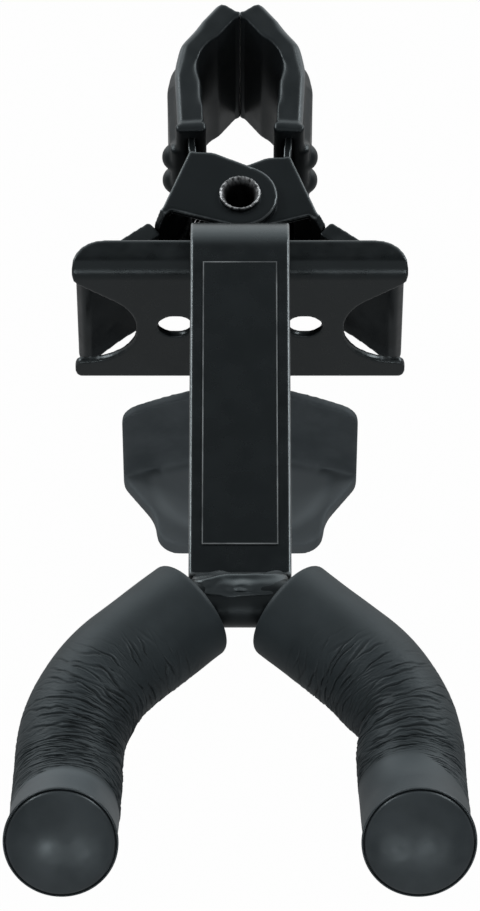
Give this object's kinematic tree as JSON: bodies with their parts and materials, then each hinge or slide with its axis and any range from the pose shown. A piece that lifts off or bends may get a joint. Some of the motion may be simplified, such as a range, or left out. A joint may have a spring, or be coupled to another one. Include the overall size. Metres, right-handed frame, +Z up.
{
  "type": "clamp-on guitar hanger",
  "caption": "Guitar hanger with a padded yoke on a steel strap and a sprung, rubber-shod clamp that grips a round pole.",
  "frame": {"origin": "on the axis of the clamped pole, halfway up the jaws", "axes": "+Z up along the pole and the clamp's pivot, -Y from the pole towards the yoke, +X to the right seen from the yoke"},
  "size_m": [0.1104, 0.2806, 0.1324],
  "materials": {
    "black_steel": "semi-gloss black powder coat",
    "label": "satin film with a thin pale border",
    "sleeve": "soft leatherette over foam, wrinkled in the bends",
    "cap_rubber": "smooth satin rubber",
    "pad_rubber": "fine matte rubber",
    "fastener": "blackened steel",
    "bright_steel": "bright crimped steel",
    "nylon": "natural nylon",
    "spring_steel": "oiled spring steel",
    "boot_rubber": "moulded satin rubber",
    "grip_vinyl": "dipped vinyl"
  },
  "bodies": {
    "frame": {"strap": "black_steel", "bracket": "black_steel", "bracket_weld": "black_steel", "label_plate": "label", "yoke_rod": "black_steel", "weld_bead": "black_steel", "left_sleeve": "sleeve", "right_sleeve": "sleeve", "left_end_cap": "cap_rubber", "right_end_cap": "cap_rubber", "rest_pad": "pad_rubber", "rest_pad_screws": "fastener", "rest_pad_nuts": "fastener", "upper_lug": "black_steel", "lower_lug": "black_steel", "lug_welds": "black_steel", "pivot_rivet": "bright_steel", "pivot_washers": "nylon", "spring": "spring_steel"},
    "left_half": {"left_jaw": "black_steel", "left_boot": "boot_rubber", "left_grip": "grip_vinyl"},
    "right_half": {"right_jaw": "black_steel", "right_boot": "boot_rubber", "right_grip": "grip_vinyl"}
  },
  "joints": [
    {"name": "left_pivot", "type": "hinge", "parent": "frame", "child": "left_half", "pos_m": [0, -0.043, 0], "axis": [0, 0, 1], "range_deg": [0, 11], "stiffness_Nm_per_rad": 3, "springref_deg": -22.92, "deforming": ["spring"]},
    {"name": "right_pivot", "type": "hinge", "parent": "frame", "child": "right_half", "pos_m": [0, -0.043, 0], "axis": [0, 0, 1], "range_deg": [-11, 0], "stiffness_Nm_per_rad": 3, "springref_deg": 22.92, "deforming": ["spring"]}
  ],
  "couplings": [
    {"joint": "right_pivot", "follows": "left_pivot", "ratio": -1}
  ]
}
